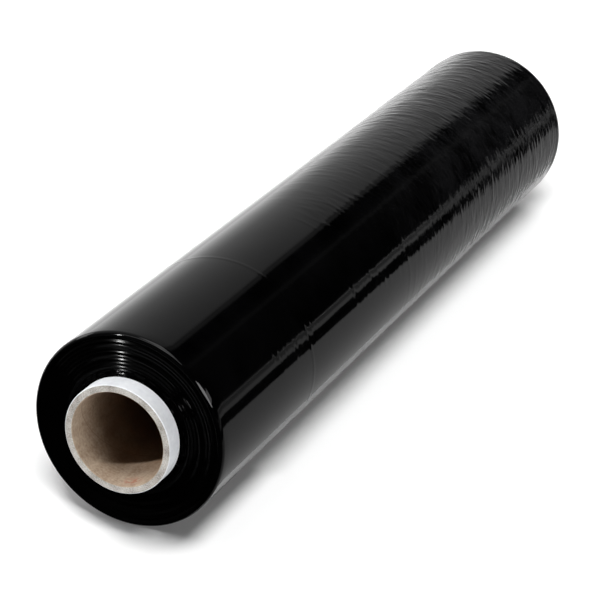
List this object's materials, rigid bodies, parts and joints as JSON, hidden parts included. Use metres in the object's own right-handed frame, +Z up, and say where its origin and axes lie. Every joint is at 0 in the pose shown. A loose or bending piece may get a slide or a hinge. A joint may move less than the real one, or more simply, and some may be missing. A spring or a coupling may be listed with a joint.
{
  "type": "stretch wrap roll",
  "caption": "Hand roll of gloss black stretch film wound on a cardboard core tube that stands out at both ends, lying on its side.",
  "frame": {"origin": "on the floor under the middle of the roll, at the centre of the box's base", "axes": "+Y along the roll and its core, from the end that faces the camera to the far end; +Z up"},
  "size_m": [0.105, 0.52, 0.1043],
  "materials": {
    "core_board": "matt wound board, brown inside, white paper outside",
    "black_film": "gloss black film"
  },
  "bodies": {
    "root": {"core_tube": "core_board", "film_roll": "black_film"}
  },
  "joints": []
}
